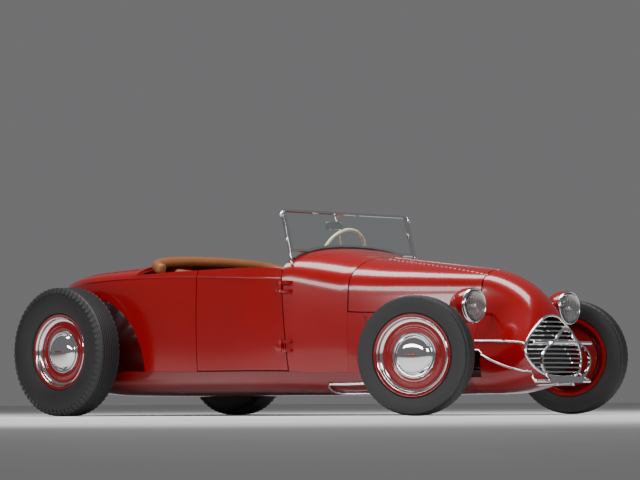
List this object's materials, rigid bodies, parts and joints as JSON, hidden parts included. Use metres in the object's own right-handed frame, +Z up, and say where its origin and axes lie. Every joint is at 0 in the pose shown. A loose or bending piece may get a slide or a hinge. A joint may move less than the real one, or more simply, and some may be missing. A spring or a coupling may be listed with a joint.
{
  "type": "street rod roadster",
  "caption": "Open two-seat street rod roadster with open wheels, shield grille, low windshield and full belly pan; doors, hood halves, deck lid, steering and wheels move.",
  "frame": {"origin": "bottom centre of the overall box, on the ground", "axes": "+X forward, +Y to the driver's left, +Z up"},
  "size_m": [3.6668, 1.7214, 1.1553],
  "materials": {
    "body_paint": "deep gloss red enamel",
    "chassis_paint": "gloss red chassis enamel",
    "chrome": "bright chrome plate",
    "tan_leather": "soft tan leather",
    "glass": "clear",
    "carpet": "short loop carpet",
    "black_metal": "satin black",
    "engine_grey": "cast",
    "ivory": "polished",
    "wheel_red": "gloss red enamel",
    "tyre": "clean black rubber"
  },
  "bodies": {
    "root": {"frame_rails": "chassis_paint", "belly_pan": "body_paint", "cowl": "body_paint", "hood_side_right": "body_paint", "hood_side_left": "body_paint", "hood_hinge": "body_paint", "nose_shell": "body_paint", "grille": "chrome", "bumper_loop": "chrome", "tail_cap": "body_paint", "quarter_right": "body_paint", "quarter_left": "body_paint", "deck_surround": "body_paint", "deck_hinge": "body_paint", "wheel_housings": "chassis_paint", "door_hinges": "body_paint", "cabin_floor": "carpet", "seat_cushion": "tan_leather", "seat_back": "tan_leather", "padded_roll": "tan_leather", "dashboard": "body_paint", "windshield_frame": "chrome", "windshield_glass": "glass", "windshield_posts": "chrome", "mirror_plate": "chrome", "headlight_right": "body_paint", "headlight_left": "body_paint", "engine_block": "engine_grey", "radiator": "black_metal", "front_axle": "chassis_paint", "rear_axle": "chassis_paint", "side_exhausts": "chrome", "tail_lamps": "body_paint", "steering_column": "chrome"},
    "steering_wheel": {"steering_wheel": "ivory"},
    "door_right": {"door_right": "body_paint"},
    "door_left": {"door_left": "body_paint"},
    "hood_right": {"hood_right": "body_paint"},
    "hood_left": {"hood_left": "body_paint"},
    "deck_lid": {"deck_lid": "body_paint"},
    "knuckle_right": {"knuckle_right": "chassis_paint"},
    "knuckle_left": {"knuckle_left": "chassis_paint"},
    "tie_rod": {"tie_rod": "chrome"},
    "wheel_front_right": {"wheel_front_right": "wheel_red", "tyre_front_right": "tyre"},
    "wheel_front_left": {"wheel_front_left": "wheel_red", "tyre_front_left": "tyre"},
    "wheel_rear_right": {"wheel_rear_right": "wheel_red", "tyre_rear_right": "tyre"},
    "wheel_rear_left": {"wheel_rear_left": "wheel_red", "tyre_rear_left": "tyre"}
  },
  "joints": [
    {"name": "steer_left", "type": "hinge", "parent": "root", "child": "knuckle_left", "pos_m": [1.3445, 0.627, 0.32], "axis": [0, 0, 1], "range_deg": [-50.67, 13.33]},
    {"name": "steer_right", "type": "hinge", "parent": "root", "child": "knuckle_right", "pos_m": [1.3445, -0.627, 0.32], "axis": [0, 0, 1], "range_deg": [-50.67, 13.33]},
    {"name": "tie_rod_pivot", "type": "hinge", "parent": "knuckle_right", "child": "tie_rod", "pos_m": [1.21187, -0.67182, 0.255], "axis": [0, 0, 1], "range_deg": [-13.33, 50.67]},
    {"name": "hand_wheel_turn", "type": "hinge", "parent": "root", "child": "steering_wheel", "pos_m": [-0.0515, 0.292, 0.896], "axis": [-0.9397, 0, 0.342], "range_deg": [-620, 180]},
    {"name": "front_wheel_spin_right", "type": "hinge", "parent": "knuckle_right", "child": "wheel_front_right", "pos_m": [1.36947, -0.7009, 0.32], "axis": [-0.3201, 0.9474, 0], "continuous": true},
    {"name": "rear_wheel_spin_right", "type": "hinge", "parent": "root", "child": "wheel_rear_right", "pos_m": [-1.3135, -0.7215, 0.376], "axis": [0, 1, 0], "continuous": true},
    {"name": "front_wheel_spin_left", "type": "hinge", "parent": "knuckle_left", "child": "wheel_front_left", "pos_m": [1.31953, 0.7009, 0.32], "axis": [-0.3201, 0.9474, 0], "continuous": true},
    {"name": "rear_wheel_spin_left", "type": "hinge", "parent": "root", "child": "wheel_rear_left", "pos_m": [-1.3135, 0.7215, 0.376], "axis": [0, 1, 0], "continuous": true},
    {"name": "door_swing_right", "type": "hinge", "parent": "root", "child": "door_right", "pos_m": [0.2945, -0.6033, 0.5], "axis": [0, 0, 1], "range_deg": [0, 65]},
    {"name": "hood_lift_right", "type": "hinge", "parent": "root", "child": "hood_right", "pos_m": [0.6165, 0, 0.8815], "axis": [-0.9925, 0, 0.1226], "range_deg": [0, 55]},
    {"name": "door_swing_left", "type": "hinge", "parent": "root", "child": "door_left", "pos_m": [0.2945, 0.6033, 0.5], "axis": [0, 0, -1], "range_deg": [0, 65]},
    {"name": "hood_lift_left", "type": "hinge", "parent": "root", "child": "hood_left", "pos_m": [0.6165, 0, 0.8815], "axis": [0.9925, 0, -0.1226], "range_deg": [0, 55]},
    {"name": "deck_lid_lift", "type": "hinge", "parent": "root", "child": "deck_lid", "pos_m": [-0.9385, 0, 0.88784], "axis": [0, 1, 0], "range_deg": [0, 50]}
  ],
  "couplings": [
    {"joint": "steer_right", "follows": "steer_left", "ratio": 1},
    {"joint": "tie_rod_pivot", "follows": "steer_left", "ratio": -1},
    {"joint": "hand_wheel_turn", "follows": "steer_left", "ratio": 12}
  ]
}
